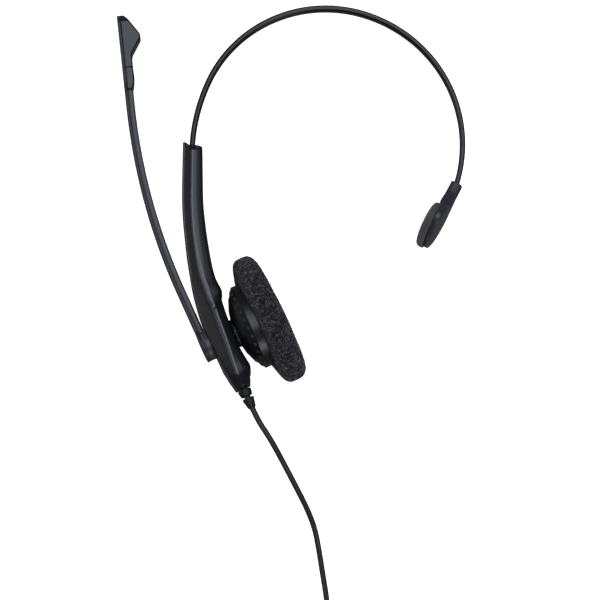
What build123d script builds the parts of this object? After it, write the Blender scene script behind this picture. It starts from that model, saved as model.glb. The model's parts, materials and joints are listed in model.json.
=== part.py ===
"""Single-ear office headset, lying on its side on a table. Millimetres.

The pieces are drawn in the headband's own plane: X runs from the ear arm towards the temple pad, Y up
to the crown and Z across the band's width. The ear cup's axis passes through the drawing's origin.
lay_down() then puts each piece into the stored frame, where +Z is up from the table.
"""

import os
from math import cos, degrees, radians, sin, tan

from build123d import *

# ---- how it lies on the table ----
TILT, ROLL = 10.87, 0.57  # it rests on the cup's rim, the temple pad and the microphone pod, degrees
SHIFT = (-28.96, -59.54, 30.03)  # puts the middle of the headset's footprint at the stored origin

# ---- arm: straight at the top, then bends to the ear cup's lean ----
LEAN = 24.2  # the lower arm and the cup's face lean by this much, degrees
ARM_X, ARM_TOP = -11.85, 83.6
ARM_STRAIGHT, ARM_BEND_R, ARM_LENGTH = 22.0, 154.0, 107.2
ARM_WALL = 1.3
ARM_FLAT = -4.2  # the flat under the boom's hub, along the cup's axis
SCREWS_AT, SCREW_R, SCREW_HEAD_R = (39.0, 62.0, 97.5), 0.8, 1.4
# distance down the arm, outer half-thickness, inner half-thickness, face half-width, ridge half-width,
# and how far the ridge sits towards the ear
ARM_SECTIONS = [
    (0.0, 3.9, 4.2, 3.8, 5.0, 0.0),
    (22.0, 4.2, 4.3, 4.2, 5.4, 0.0),
    (38.0, 4.2, 5.0, 4.6, 6.0, 0.2),
    (47.0, 4.4, 5.1, 5.2, 6.6, 0.4),
    (55.0, 4.7, 5.3, 5.9, 7.3, 0.6),
    (60.0, 5.0, 5.6, 6.5, 7.8, 0.7),
    (64.5, 5.2, 6.4, 7.1, 8.3, 0.8),
    (69.0, 5.35, 5.7, 7.7, 8.8, 1.0),
    (73.5, 5.45, 5.5, 8.2, 9.2, 1.1),
    (78.0, 5.37, 5.45, 8.5, 9.4, 1.2),
    (92.0, 5.1, 5.4, 8.5, 9.4, 1.2),
    (97.0, 5.1, 5.35, 7.5, 8.5, 1.2),
    (102.0, 4.5, 5.2, 5.9, 6.9, 0.9),
    (105.4, 4.0, 3.7, 4.6, 5.6, 0.4),
    (107.2, 3.7, 2.8, 3.9, 4.8, 0.0),
]

# ---- headband: a straight tail inside the arm, then three arcs over the head ----
BAND_X, TAIL_END = -12.0, 49.5
BAND_THICK, BAND_WIDE = 2.3, 4.6
BAND_PATH = [(28.5, 0.0), (33.07, -77.5), (76.39, -53.9), (91.58, -58.3), (3.9, 0.0)]
CORE_THICK, CORE_WIDE = 0.9, 3.4

# ---- temple pad on the band's far end ----
PAD_LEAN = 27.7
CARRIER_THICK, CARRIER_LENGTH, SLEEVE_WIDE = 5.0, 29.5, 7.8
SLEEVE_MID = -0.3  # the sleeve's middle, from the pivot, away from the head
SLEEVE_TOP = 2.3  # the sleeve's mouth above the pivot
PAD_LENGTH, PAD_WIDE, PAD_PROUD = 19.4, 40.0, 4.1
TEMPLE_PIN_R, TEMPLE_HOLE_R = 0.6, 0.65

# ---- ear cup, measured along its axis from the drawing's origin ----
FOAM_R, HOUSING_R, NECK_R = 28.0, 18.2, 5.9
BALL_AT, BALL_R, BALL_NECK_R = 9.6, 2.4, 1.2
LINER_IN_R, LINER_OUT_R, SOCKET_R = 2.46, 3.0, 3.06
SOCKET_BOSS_R, MOUTH_ANGLE = 4.4, 42.0
VENTS, VENT_R, VENT_RING_R = 27, 0.45, 16.4
RECESS_R, RECESS_FLOOR = 7.4, 4.7  # the hollow in the arm that the cup's neck swings in

# ---- boom: straight from its pivot, then one long bend towards the mouth ----
BOOM_B = -6.6  # the boom's centre line at the pivot, along the cup's axis
BOOM_THICK, BOOM_WIDE = 3.3, 4.8
BOOM_OUTER = 1.2  # thickness of the outer strip
BOOM_PATH = [(25.0, 0.0), (82.3, 262.0), (40.3, 0.0)]
BOOM_LENGTH = 147.6
POD_START, POD_WIDE = 115.3, 8.4
TIP_SLANT = 3.7  # how much shorter the pod is along its upper edge, as the headset lies
HUB_R, HUB_BACK = 6.5, -4.7
PIVOT_R, BUSH_R, BUSH_OUT_R = 1.6, 1.65, 2.7

# ---- cord ----
CORD_D = 2.4
BOOT_B, BOOT_START, BOOT_END = 0.45, 18.5, 31.75
COIL_AT = (-1.5, -192.5)
COIL_IN_R, COIL_OUT_R, COIL_HIGH = 7.2, 19.2, 4.8
TIE = 0.5  # the tie's thickness, which also lifts the coil off the table
# the cord's route in the stored frame, from the boot's end to the coil
ROUTE = [
    (-15.48, -87.8, 35.32),
    (-13.22, -92.72, 36.24),
    (-8.6, -99.5, 37.0),
    (-4.6, -106.7, 36.0),
    (-0.6, -114.5, 31.8),
    (3.4, -122.5, 24.6),
    (7.2, -130.5, 15.4),
    (10.3, -138.9, 6.8),
    (12.0, -147.9, 2.0),
    (13.5, -157.7, 1.2),
    (15.2, -168.1, 1.2),
    (16.2, -177.9, 1.25),
    (16.5, -187.0, 1.7),
]
# from the coil to the plug's boot
TAIL = [
    (2.0, -210.3, 4.1),
    (-5.5, -210.9, 3.7),
    (-12.0, -210.4, 2.6),
    (-18.5, -209.1, 2.9),
    (-25.0, -207.3, 4.0),
    (-31.8, -205.2, 4.0),
]
PLUG_HEADING = 162.84  # the plug's direction on the table, degrees
PLUG_R, PLUG_LENGTH, PLUG_BOOT = 4.0, 18.0, 12.0
PIN_R = 1.75

CUP = Plane(
    origin=(0, 0, 0),
    x_dir=(sin(radians(LEAN)), -cos(radians(LEAN)), 0),
    z_dir=(cos(radians(LEAN)), sin(radians(LEAN)), 0),
)  # local X down the arm, local Z towards the ear
BOOM = Plane(
    origin=(BOOM_B * cos(radians(LEAN)), BOOM_B * sin(radians(LEAN)), 0),
    x_dir=(-sin(radians(LEAN)), cos(radians(LEAN)), 0),
    z_dir=(0, 0, -1),
)  # local X up the boom, local Y towards the ear
LAY = Location(SHIFT) * Location((0, 0, 0), (0, ROLL, 0)) * Location((0, 0, 0), (-TILT, 0, 0))


# ---- helpers ----
def turned(*corners):
    """A solid turned about Z from (radius, height) corners."""
    return revolve(make_face(Polyline(*[(r, 0, z) for r, z in corners], close=True)), Axis.Z)


def disc(radius, low, high, x=0.0, y=0.0):
    """A cylinder along Z between two heights."""
    return Pos(x, y, (low + high) / 2) * Cylinder(radius, high - low)


def tube(outer, inner, low, high, x=0.0, y=0.0):
    """A ring along Z between two heights."""
    return disc(outer, low, high, x, y) - disc(inner, low - 1, high + 1, x, y)


def slab(x0, x1, y0, y1, z0, z1):
    """A box between two corners."""
    middle = Pos((x0 + x1) / 2, (y0 + y1) / 2, (z0 + z1) / 2)
    return middle * Box(x1 - x0, y1 - y0, z1 - z0)


def along(path, s, q, heading):
    """The point q to the left of a path of (length, radius) runs, s along it; radius 0 is straight."""
    x, y, turn = 0.0, 0.0, radians(heading)
    for length, radius in path:
        step = min(s, length) if (length, radius) != path[-1] else s
        if radius:
            swing = step / radius
            x += radius * (sin(turn + swing) - sin(turn))
            y += radius * (cos(turn) - cos(turn + swing))
            turn += swing
        else:
            x += step * cos(turn)
            y += step * sin(turn)
        s -= step
        if s <= 1e-9:
            break
    return x - q * sin(turn), y + q * cos(turn)


def ribbon(path, start, end, low, high, heading):
    """A face of even thickness that follows a path, between two offsets to its left."""
    stops, total = [start], 0.0
    for length, _ in path[:-1]:
        total += length
        if start < total < end:
            stops.append(total)
    stops.append(end)
    edges = []
    for a, b in zip(stops, stops[1:]):
        for q in (low, high):
            middle = along(path, (a + b) / 2, q, heading)
            first, last = along(path, a, q, heading), along(path, b, q, heading)
            bent = (Vector(*middle) - (Vector(*first) + Vector(*last)) * 0.5).length > 1e-6
            edges.append(ThreePointArc(first, middle, last) if bent else Line(first, last))
    for s in (start, end):
        edges.append(Line(along(path, s, low, heading), along(path, s, high, heading)))
    return make_face(edges)


def both_ways(face, width):
    """A face made solid, half of the width to each side of its plane."""
    return extrude(face, width / 2, both=True)


# ---- arm ----
def arm_plane(s):
    """The arm's cross-section plane s down from its top: local X to the ear, local Y along Z."""
    bend = max(0.0, min((s - ARM_STRAIGHT) / ARM_BEND_R, radians(LEAN)))
    rest = max(0.0, s - ARM_STRAIGHT - ARM_BEND_R * radians(LEAN))
    x = ARM_X + ARM_BEND_R * (1 - cos(bend)) + rest * sin(bend)
    y = ARM_TOP - min(s, ARM_STRAIGHT) - ARM_BEND_R * sin(bend) - rest * cos(bend)
    return Plane(origin=(x, y, 0), x_dir=(cos(bend), sin(bend), 0), z_dir=(sin(bend), -cos(bend), 0))


def arm_sizes(s):
    """The five section sizes s down the arm, between the rows of ARM_SECTIONS."""
    for low, high in zip(ARM_SECTIONS, ARM_SECTIONS[1:]):
        if s <= high[0]:
            share = (s - low[0]) / (high[0] - low[0])
            return [a + share * (b - a) for a, b in zip(low[1:], high[1:])]
    return list(ARM_SECTIONS[-1][1:])


def half_section(s, side, inset):
    """One half of the arm's section: side -1 is away from the head, +1 towards the ear."""
    outer, inner, face, ridge, shift = arm_sizes(s)
    depth = (outer if side < 0 else inner) - inset
    face, ridge, corner = face - inset, ridge - inset, 0.9
    points = [
        (shift, -ridge),
        (side * (depth - corner), -face - 0.2),
        (side * depth, -face + corner),
        (side * depth, face - corner),
        (side * (depth - corner), face + 0.2),
        (shift, ridge),
    ]
    return arm_plane(s) * make_face(Polyline(*points, close=True))


def half_arm(side):
    """One hollow half of the arm, from its middle ridge to its outer or its ear face."""
    rows = [row[0] for row in ARM_SECTIONS]
    outside = loft([half_section(s, side, 0.0) for s in rows], ruled=True)
    inner_rows = [ARM_WALL] + rows[1:-1] + [ARM_LENGTH - ARM_WALL]
    hollow = loft([half_section(s, side, ARM_WALL) for s in inner_rows], ruled=True)
    return outside - hollow


def band_slot():
    """The opening in the arm's top wall that the band slides through."""
    return slab(-13.9, -9.9, 70.0, 90.0, -BAND_WIDE / 2 - 0.3, BAND_WIDE / 2 + 0.3)


def boot_hole():
    """The opening in the arm's lower end for the strain relief's root."""
    return CUP.location * Pos(BOOT_START + 5, 0, BOOT_B) * Rot(0, 90, 0) * Cylinder(2.2, 14.0)


def screw_places():
    """Local frames of the cover screws, Z towards the ear, each with the arm's two half-thicknesses."""
    return [(arm_plane(s).location * Rot(0, 90, 0), *arm_sizes(s)[:2]) for s in SCREWS_AT]


def arm_outer_shell():
    """The outer half of the arm, with the screw bosses and a flat for the boom's hub."""
    shell = half_arm(-1)
    for place, out, top in screw_places():
        shell += place * tube(1.9, SCREW_R, ARM_WALL / 2 - out, top - ARM_WALL - 0.4)
    flat = CUP.location * disc(HUB_R + 0.6, -9.0, ARM_FLAT)
    pivot_hole = CUP.location * disc(BUSH_OUT_R, -8, 0)
    return shell - flat - band_slot() - boot_hole() - pivot_hole


def arm_inner_cover():
    """The ear half of the arm, with the round hollow that the cup's neck swings in."""
    shell = half_arm(1)
    bulk = loft([half_section(row[0], 1, 0.6) for row in ARM_SECTIONS], ruled=True)
    shell += CUP.location * disc(RECESS_R + 1.1, RECESS_FLOOR - 1.2, 6.0) & bulk
    shell -= CUP.location * disc(RECESS_R, RECESS_FLOOR, 12)
    shell -= CUP.location * disc(BALL_NECK_R + 0.1, 0, 12)
    for place, _, top in screw_places():
        shell -= place * disc(SCREW_R, 0.0, 9.0)
        shell -= place * disc(SCREW_HEAD_R + 0.1, top - 0.8, 9.0)
    return shell - band_slot() - boot_hole()


def cover_screws():
    """The small screws that hold the inner cover to the outer shell."""
    screws = []
    for place, _, top in screw_places():
        screw = disc(SCREW_HEAD_R, top - 0.8, top - 0.15) + disc(SCREW_R, top - 5.5, top - 0.8)
        slot = slab(-1.1, 1.1, -0.2, 0.2, top - 0.5, 9)
        screws.append(place * (screw - slot - Rot(0, 0, 90) * slot))
    return screws


def throat_collar():
    """The plastic bush at the arm's top that guides the band's straight tail."""
    rows = [ARM_WALL + 0.05, 12.0]
    halves = [loft([half_section(s, side, ARM_WALL + 0.05) for s in rows], ruled=True) for side in (-1, 1)]
    half = BAND_WIDE / 2 + 0.08
    tail = slab(BAND_X - 1.22, BAND_X + 1.22, 60, 90, -half, half)
    flare = slab(-13.6, -9.9, 77.0, 90, -half, half)
    return halves[0] + halves[1] - tail - flare


def band_spring():
    """A bowed leaf that steadies the band's tail inside the arm."""
    bow = ThreePointArc((-9.6, 69.5), (-10.35, 63.0), (-9.6, 56.5))
    back = ThreePointArc((-9.3, 69.5), (-10.05, 63.0), (-9.3, 56.5))
    face = make_face([bow, back, Line(bow @ 0, back @ 0), Line(bow @ 1, back @ 1)])
    return both_ways(face, 4.0)


def circuit_board():
    """The small board in the middle of the arm, with its chips."""
    place = arm_plane(50.0).location * Rot(0, 90, 0)
    board = place * slab(-8.0, 8.0, -3.4, 3.4, 1.6, 2.4)
    for x, size in ((-4.0, 1.8), (1.5, 2.4), (5.6, 1.2)):
        board += place * slab(x - size / 2, x + size / 2, -1.2, 1.2, 0.8, 1.6)
    return board


def ball_stud():
    """The steel ball on a flanged neck that the cup turns on."""
    stud = turned(
        (0, 2.4), (3.4, 2.4), (3.4, RECESS_FLOOR - 1.2), (BALL_NECK_R, RECESS_FLOOR - 1.2),
        (BALL_NECK_R, 8.0), (0, 8.0),
    )
    return CUP.location * (stud + Pos(0, 0, BALL_AT) * Sphere(BALL_R))


def boom_pivot_bush():
    ring = tube(BUSH_OUT_R, BUSH_R, ARM_FLAT, -2.0) + tube(3.5, BUSH_R, -2.8, -2.0)
    return CUP.location * ring


def friction_washer():
    return CUP.location * tube(5.2, 2.9, HUB_BACK + 0.1, ARM_FLAT)


# ---- headband ----
def band_ribbon(start, end, half_thick):
    """The band's outline between two distances from its tail's end."""
    face = ribbon(BAND_PATH, start, end, -half_thick, half_thick, 90.0)
    return Pos(BAND_X, TAIL_END, 0) * face


def band_length():
    return sum(length for length, _ in BAND_PATH)


def band_end():
    """The temple pivot: the centre of the band's rounded far end."""
    x, y = along(BAND_PATH, band_length(), 0.0, 90.0)
    return BAND_X + x, TAIL_END + y


def band_core():
    """The spring-steel strip inside the band."""
    return both_ways(band_ribbon(1.0, band_length() - 3.0, CORE_THICK / 2), CORE_WIDE)


def band_sheath():
    """The plastic cover moulded round the steel strip, with a rounded pivot eye."""
    strip = both_ways(band_ribbon(0.0, band_length(), BAND_THICK / 2), BAND_WIDE)
    x, y = band_end()
    eye = Pos(x, y, 0) * Cylinder(BAND_THICK / 2, BAND_WIDE)
    hole = Pos(x, y, 0) * Cylinder(TEMPLE_HOLE_R, BAND_WIDE + 2)
    return strip + eye - hole - band_core()


def tail_stop():
    """The clip on the band's tail that keeps it from pulling out."""
    clip = slab(-13.6, -10.7, TAIL_END - 0.9, TAIL_END + 1.6, -2.7, 2.7)
    return clip - both_ways(band_ribbon(0.0, 10.0, BAND_THICK / 2), BAND_WIDE)


# ---- temple pad ----
def carrier_plane():
    """Local X away from the head across the carrier, local Y up it, origin at the pivot."""
    lean = radians(PAD_LEAN)
    return Plane(origin=(*band_end(), 0), x_dir=(cos(lean), -sin(lean), 0), z_dir=(0, 0, 1))


def temple_carrier():
    """The sleeve on the band's end and the oval plate under the pad, in one moulding."""
    out, back = SLEEVE_MID + CARRIER_THICK / 2, SLEEVE_MID - CARRIER_THICK / 2
    bottom = SLEEVE_TOP - CARRIER_LENGTH
    sleeve = slab(back, out, SLEEVE_TOP - 14.0, SLEEVE_TOP, -SLEEVE_WIDE / 2, SLEEVE_WIDE / 2)
    sleeve = fillet(sleeve.edges().group_by(Axis.Y)[-1], 1.0)
    oval = Ellipse(PAD_WIDE / 2, (PAD_LENGTH - 0.6) / 2)
    middle = bottom + PAD_LENGTH / 2 - 0.2
    plate = Pos(out, middle, 0) * Rot(0, -90, 0) * extrude(oval, 3.4)
    neck = slab(back + 1.6, out, middle, SLEEVE_TOP - 8.0, -SLEEVE_WIDE / 2, SLEEVE_WIDE / 2)
    mouth = Polyline((-1.3, -1.5), (1.3, -1.5), (1.45, SLEEVE_TOP + 1), (-2.0, SLEEVE_TOP + 1), close=True)
    slot = both_ways(make_face(mouth), BAND_WIDE + 0.4)
    body = sleeve + plate + neck - slot
    return carrier_plane().location * (body - Cylinder(TEMPLE_PIN_R, 20))


def temple_pad():
    """The crowned oval cushion that rests on the head."""
    bottom = SLEEVE_TOP - CARRIER_LENGTH
    back = SLEEVE_MID + CARRIER_THICK / 2 - 3.4
    pad = extrude(Ellipse(PAD_WIDE / 2, PAD_LENGTH / 2), PAD_PROUD)
    pad = fillet(pad.edges().group_by(Axis.Z)[-1], 2.4)
    pad = Pos(back, bottom + PAD_LENGTH / 2, 0) * Rot(0, -90, 0) * pad
    sleeve = slab(-9, 9, SLEEVE_TOP - 14.0, 9, -SLEEVE_WIDE / 2 - 0.2, SLEEVE_WIDE / 2 + 0.2)
    sleeve &= slab(SLEEVE_MID - CARRIER_THICK / 2 - 0.05, 9, -40, 9, -9, 9)
    return carrier_plane().location * (pad - sleeve)


def temple_pin():
    return carrier_plane().location * Cylinder(TEMPLE_PIN_R, SLEEVE_WIDE)


# ---- ear cup ----
def mouth_cone():
    """The cone of space that the ball's neck swings through."""
    reach = BALL_AT - 2.0
    return Pos(0, 0, BALL_AT) * turned((0, 0), (reach * tan(radians(MOUTH_ANGLE)), -reach), (0, -reach))


def ball_liner():
    """The thin nylon shell between the ball and its socket."""
    shell = Sphere(LINER_OUT_R) - Sphere(LINER_IN_R)
    return CUP.location * (Pos(0, 0, BALL_AT) * shell - mouth_cone())


def cup_housing():
    """The vented back of the cup, with the lower half of the ball's socket."""
    outside = turned(
        (0, 6.3), (NECK_R, 6.3), (NECK_R, 7.2), (9.5, 8.0), (14.1, 9.8), (15.2, 10.8),
        (HOUSING_R, 12.7), (HOUSING_R, 15.9), (0, 15.9),
    )
    inside = turned(
        (SOCKET_BOSS_R, 8.7), (9.2, 9.5), (13.6, 11.2), (14.6, 12.2), (HOUSING_R - 1.5, 13.5),
        (HOUSING_R - 1.5, 17), (0, 17), (0, BALL_AT), (SOCKET_BOSS_R, BALL_AT),
    )
    housing = outside - inside - Pos(0, 0, BALL_AT) * Sphere(SOCKET_R) - mouth_cone()
    vent = disc(VENT_R, 9.0, 15.0, VENT_RING_R)
    housing -= [Rot(0, 0, 360 * i / VENTS) * vent for i in range(VENTS)]
    return CUP.location * housing


def socket_retainer():
    """The ring that closes the socket over the ball, from inside the cup."""
    ring = disc(SOCKET_BOSS_R, BALL_AT, 13.1) - Pos(0, 0, BALL_AT) * Sphere(SOCKET_R)
    return CUP.location * ring


def vent_felt():
    return CUP.location * tube(16.6, 14.6, 13.6, 14.2)


def speaker_yoke():
    return CUP.location * (disc(6.4, 13.5, 16.6) - disc(5.8, 14.1, 17.0))


def speaker_magnet():
    return CUP.location * disc(4.6, 14.1, 16.0)


def speaker_top_plate():
    return CUP.location * disc(4.8, 16.0, 16.7)


def voice_coil():
    return CUP.location * tube(5.5, 5.1, 15.2, 17.2)


def speaker_cone():
    """The dished diaphragm on the voice coil."""
    cone = turned((0, 17.8), (4.2, 17.4), (5.5, 17.2), (13.2, 17.9), (13.2, 18.05), (5.5, 17.4), (0, 18.0))
    return CUP.location * cone


def speaker_basket():
    """The round frame that carries the magnet and the cone's rim."""
    basket = turned((6.4, 15.0), (14.2, 15.0), (14.2, 18.2), (13.2, 18.2), (13.2, 15.8), (6.4, 15.8))
    holes = [Rot(0, 0, 60 * i) * disc(1.6, 14, 17, 9.8) for i in range(6)]
    return CUP.location * (basket - holes)


def ear_plate():
    """The perforated front plate that the foam is stretched over."""
    plate = disc(22.4, 18.25, 19.55) + tube(16.6, 15.4, 15.0, 18.3)
    plate -= disc(1.0, 17, 21)
    for count, ring in ((6, 4.0), (12, 8.0)):
        plate -= [Rot(0, 0, 360 * i / count) * disc(1.0, 17, 21, ring) for i in range(count)]
    return CUP.location * plate


def foam_cushion():
    """The round foam pad, stretched over the ear plate and down to the housing's rim."""
    solid = turned(
        (HOUSING_R, 15.9), (26.2, 18.2), (FOAM_R, 20.4), (FOAM_R, 25.0), (25.6, 28.0), (12.0, 28.7),
        (0, 28.8), (0, 19.6), (22.5, 19.6), (22.5, 18.25), (HOUSING_R, 18.25),
    )
    return CUP.location * solid


# ---- boom ----
def boom_run(start, end, low, high, width):
    """A stretch of the boom between two offsets from its centre line."""
    face = ribbon(BOOM_PATH, start, end, low, high, 0.0)
    return BOOM.location * both_ways(face, width)


def beyond_tip():
    """The room beyond the pod's slanted end face."""
    tip = (*along(BOOM_PATH, BOOM_LENGTH, 0.0, 0.0), 0)
    turn = BOOM_PATH[1][0] / BOOM_PATH[1][1]
    half, far, deep = POD_WIDE / 2, 3.0, 12.0
    corners = [(0, half), (-TIP_SLANT, -half), (-TIP_SLANT, -half - far), (far, -half - far), (far, half)]
    side = Plane.XZ * make_face(Polyline(*corners, close=True))
    wedge = extrude(side, deep, both=True)
    return BOOM.location * Location(tip) * Rot(0, 0, degrees(turn)) * wedge


def boom_outer_strip():
    """The outer half of the boom: hub cover, strip and the back of the microphone pod."""
    low, high = -BOOM_THICK / 2 - 0.15, -BOOM_THICK / 2 + BOOM_OUTER
    strip = boom_run(0.0, POD_START, low, high, BOOM_WIDE)
    pod = boom_run(POD_START, BOOM_LENGTH, low, high, POD_WIDE) - beyond_tip()
    return strip + pod + CUP.location * disc(HUB_R, BOOM_B + low, BOOM_B + high)


def boom_inner_strip():
    """The inner half of the boom with its pivot boss and the channel for the wires."""
    low, high = -BOOM_THICK / 2 + BOOM_OUTER, BOOM_THICK / 2
    strip = boom_run(0.0, POD_START, low, high, BOOM_WIDE)
    channel = boom_run(6.0, POD_START + 1, low - 0.1, low + 0.9, 1.4)
    boss = CUP.location * disc(HUB_R - 0.1, BOOM_B + low, HUB_BACK)
    bore = CUP.location * disc(PIVOT_R, -12, 0)
    head = CUP.location * disc(3.0, BOOM_B + low - 1, BOOM_B + low + 0.8)
    return strip + boss - channel - bore - head


def mic_cover():
    """The wedge-shaped front of the microphone pod, with its sound slots."""
    low = -BOOM_THICK / 2 + BOOM_OUTER
    corners = [
        (POD_START, low), (POD_START, 1.6), (118.5, 2.5), (128.0, 2.7), (137.3, 7.75),
        (BOOM_LENGTH, 0.7), (BOOM_LENGTH, low),
    ]
    base = BOOM_PATH[0][0] + BOOM_PATH[1][0]
    turn = BOOM_PATH[1][0] / BOOM_PATH[1][1]
    origin = along(BOOM_PATH, base, 0.0, 0.0)
    place = BOOM.location * Location((*origin, 0)) * Rot(0, 0, degrees(turn))
    outline = make_face(Polyline(*[(s - base, q) for s, q in corners], close=True))
    outline = fillet(outline.vertices().sort_by(Axis.Y)[-1], 2.4)
    body = both_ways(outline, POD_WIDE)
    room = slab(23.5, 36.2, low - 1, 2.6, -3.4, 3.4)
    slots = [slab(x, x + 0.7, 2, 9, -2.0, 2.0) for x in (27.0, 29.2, 31.4)]
    return place * (body - room - slots) - beyond_tip()


def mic_place():
    """The microphone's centre on the pod's back plate, its axis towards the mouth."""
    x, y = along(BOOM_PATH, 137.0, -BOOM_THICK / 2 + BOOM_OUTER, 0.0)
    turn = BOOM_PATH[1][0] / BOOM_PATH[1][1]
    return BOOM.location * Location((x, y, 0)) * Rot(0, 0, degrees(turn)) * Rot(-90, 0, 0)


def mic_gasket():
    return mic_place() * tube(3.2, 2.55, 0.0, 2.9)


def mic_capsule():
    return mic_place() * disc(2.5, 0.2, 2.7)


def mic_wires():
    """The thin pair of wires in the boom's channel."""
    low = -BOOM_THICK / 2 + BOOM_OUTER
    return boom_run(7.0, POD_START - 0.1, low + 0.1, low + 0.7, 1.2)


def boom_pivot_pin():
    pin = disc(2.9, BOOM_B - 0.45, BOOM_B + 0.3) + disc(PIVOT_R, BOOM_B, -1.0)
    return CUP.location * (pin - tube(3, 1.2, -1.7, -1.3))


def boom_pin_clip():
    """The spring ring that keeps the pivot pin in its bush."""
    return CUP.location * tube(3.0, 1.2, -1.7, -1.3)


# ---- cord and plug ----
def strain_relief():
    """The stepped rubber boot where the cord leaves the arm."""
    steps = [
        (22.3, 23.6, 2.9), (24.4, 26.0, 2.85), (26.8, 28.2, 2.55), (29.0, BOOT_END, 2.2),
    ]
    boot = disc(2.1, BOOT_START, BOOT_END - 1)
    for low, high, radius in steps[:-1]:
        boot += disc(radius, low, high)
    low, high, radius = steps[-1]
    boot += turned((0, low), (radius, low), (CORD_D / 2 + 0.35, high), (0, high))
    return CUP.location * Pos(0, 0, BOOT_B) * Rot(0, 90, 0) * boot


def cord_anchor():
    """The crimped sleeve that holds the cord's end inside the arm."""
    ring = disc(1.9, BOOT_START - 3.0, BOOT_START)
    return CUP.location * Pos(0, 0, BOOT_B) * Rot(0, 90, 0) * ring


def route_radii(points):
    """The largest tangent arc at each inner corner of a route."""
    corners = [Vector(*p) for p in points]
    radii = []
    for a, b, c in zip(corners, corners[1:], corners[2:]):
        turn = radians((b - a).get_angle(c - b))
        radii.append(0.45 * min((b - a).length, (c - b).length) / tan(turn / 2))
    return radii


def cord_run(points, name):
    """A round cord along a route of straight runs joined by tangent arcs."""
    radii = route_radii(points)
    path = FilletPolyline(*points, radius=radii)
    section = Plane(origin=path @ 0, z_dir=path % 0) * Circle(CORD_D / 2)
    cord = sweep(section, path)
    share = cord.volume / (path.length * section.area)
    print(name, "length", round(path.length, 1), "volume share", round(share, 4))
    print("  radii", [round(r, 1) for r in radii])
    return cord


def cord_coil():
    """The outer shape of the tied coil of spare cord."""
    x, y = COIL_AT
    return tube(COIL_OUT_R, COIL_IN_R, TIE, TIE + COIL_HIGH, x, y)


def cord_tie():
    """The strap round the coil's turns."""
    x, y = COIL_AT
    strap = slab(x - COIL_OUT_R - TIE, x - COIL_IN_R + TIE, y - 3, y + 3, 0.0, COIL_HIGH + 2 * TIE)
    return strap - cord_coil()


def plug_place():
    """The plug's frame: local Z from its boot towards its tip."""
    return Location(TAIL[-1]) * Rot(0, 0, PLUG_HEADING) * Rot(0, 90, 0)


def plug_parts():
    """The plug's pieces, each from and to a distance along it."""
    grip = PLUG_BOOT + PLUG_LENGTH
    place = plug_place()
    pin = [("plug_sleeve", 4.0), ("gap", 0.5), ("plug_ring_inner", 2.1), ("gap", 0.5)]
    pin += [("plug_ring_outer", 2.1), ("gap", 0.5)]
    parts, gaps, at = {}, [], grip
    for name, length in pin:
        piece = place * disc(PIN_R, at, at + length)
        at += length
        if name == "gap":
            gaps.append(piece)
        else:
            parts[name] = piece
    parts["plug_insulators"] = gaps
    parts["plug_tip"] = place * turned(
        (0, at), (PIN_R, at), (PIN_R, at + 1.3), (1.15, at + 2.2), (1.6, at + 3.2), (1.2, at + 4.2),
        (0, at + 5.0),
    )
    body = fillet(disc(PLUG_R, PLUG_BOOT, grip).edges(), 0.8)
    parts["plug_body"] = place * body
    parts["plug_boot"] = place * turned((0, 0), (1.6, 0), (2.6, PLUG_BOOT), (0, PLUG_BOOT))
    return parts


def lay_down(shape):
    """A piece, or a list of its solids, moved from the drawing into the stored frame."""
    if isinstance(shape, list):
        return Compound(children=[LAY * solid for solid in shape])
    return LAY * shape


HEADSET = [
    arm_outer_shell, arm_inner_cover, cover_screws, throat_collar, band_spring, circuit_board,
    ball_stud, boom_pivot_bush, friction_washer, band_core, band_sheath, tail_stop, temple_carrier,
    temple_pad, temple_pin, ball_liner, cup_housing, socket_retainer, vent_felt, speaker_yoke,
    speaker_magnet, speaker_top_plate, voice_coil, speaker_cone, speaker_basket, ear_plate,
    foam_cushion, boom_outer_strip, boom_inner_strip, mic_cover, mic_gasket, mic_capsule, mic_wires,
    boom_pivot_pin, boom_pin_clip, strain_relief, cord_anchor,
]


def all_parts():
    """Every piece by name, in the stored frame."""
    parts = {make.__name__: lay_down(make()) for make in HEADSET}
    parts["cord_tube"] = cord_run(ROUTE, "cord_tube")
    parts["cord_tail"] = cord_run(TAIL, "cord_tail")
    parts["cord_coil"] = cord_coil()
    parts["cord_tie"] = cord_tie()
    for name, piece in plug_parts().items():
        parts[name] = Compound(children=piece) if isinstance(piece, list) else piece
    return parts


def main():
    os.makedirs("parts", exist_ok=True)
    for name, piece in all_parts().items():
        export_step(piece, f"parts/{name}.step")


if __name__ == "__main__":
    main()
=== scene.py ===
import json
from math import acos, cos, pi, radians, sin, tan

import bmesh
import bpy
import numpy as np
from mathutils import Matrix, Vector, noise

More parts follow.
